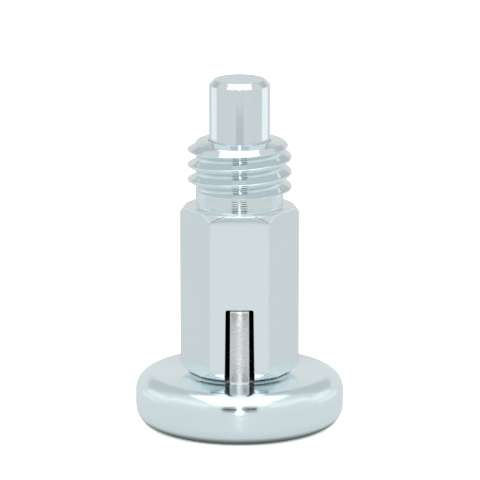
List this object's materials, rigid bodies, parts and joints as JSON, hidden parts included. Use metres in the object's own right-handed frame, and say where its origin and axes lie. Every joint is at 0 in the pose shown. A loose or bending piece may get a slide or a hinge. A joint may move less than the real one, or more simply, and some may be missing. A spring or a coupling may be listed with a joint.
{
  "type": "index plunger",
  "caption": "Spring-loaded index plunger with a threaded hexagon body, a cylindrical locating pin and a disc pull knob keyed in the body's slot.",
  "frame": {"origin": "centre of the pull knob's flat underside, on the plunger's axis", "axes": "+Z along the axis from the knob to the pin's nose; two flats of the hexagon face -Y and +Y, and the slot for the keys runs through both"},
  "size_m": [0.024, 0.024, 0.0403],
  "materials": {
    "plated_body": "bright clear zinc plating over fine turning marks",
    "plated_knob": "bright clear zinc plating, smooth rounded rim",
    "polished_pin": "hardened and ground steel, near mirror",
    "spring_wire": "drawn spring wire, lightly oiled"
  },
  "bodies": {
    "housing": {"hex_body": "plated_body"},
    "spring_end": {"compression_spring": "spring_wire"},
    "puller": {"plunger_pin": "polished_pin", "pull_knob": "plated_knob"}
  },
  "joints": [
    {"name": "knob_pull", "type": "slide", "parent": "housing", "child": "spring_end", "axis": [0, 0, -1], "range_m": [0, 0.009], "stiffness_N_per_m": 3000, "springref_m": -0.0017, "deforming": ["compression_spring"]},
    {"name": "knob_turn", "type": "hinge", "parent": "spring_end", "child": "puller", "pos_m": [0, 0, 0], "axis": [0, 0, 1], "range_deg": [-4, 4]}
  ]
}
